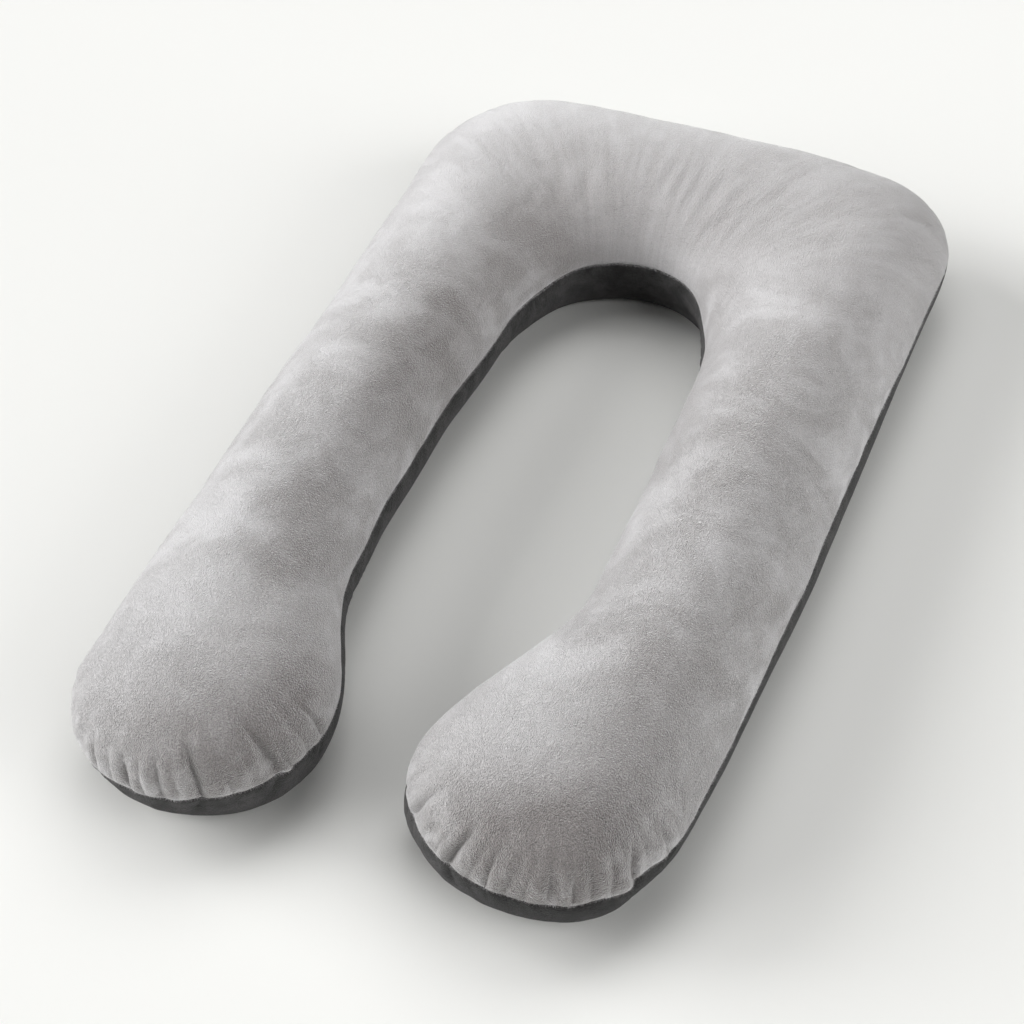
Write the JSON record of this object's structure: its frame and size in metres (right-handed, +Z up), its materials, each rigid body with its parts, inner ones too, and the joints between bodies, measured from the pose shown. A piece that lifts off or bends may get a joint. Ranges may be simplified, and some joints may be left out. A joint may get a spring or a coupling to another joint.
{
  "type": "u-shaped pregnancy pillow",
  "caption": "Long stuffed U-shaped body pillow with round leg ends, pale grey plush above and charcoal plush below.",
  "frame": {"origin": "on the floor, under the middle of the pillow's box", "axes": "+Z up, +Y from the leg ends to the crown, +X to the right as seen from the leg ends"},
  "size_m": [0.7498, 1.4, 0.1742],
  "materials": {
    "plush_pale": "short velvet plush",
    "plush_charcoal": "short velvet plush"
  },
  "bodies": {
    "root": {"top_panel": "plush_pale", "bottom_panel": "plush_charcoal"}
  },
  "joints": []
}
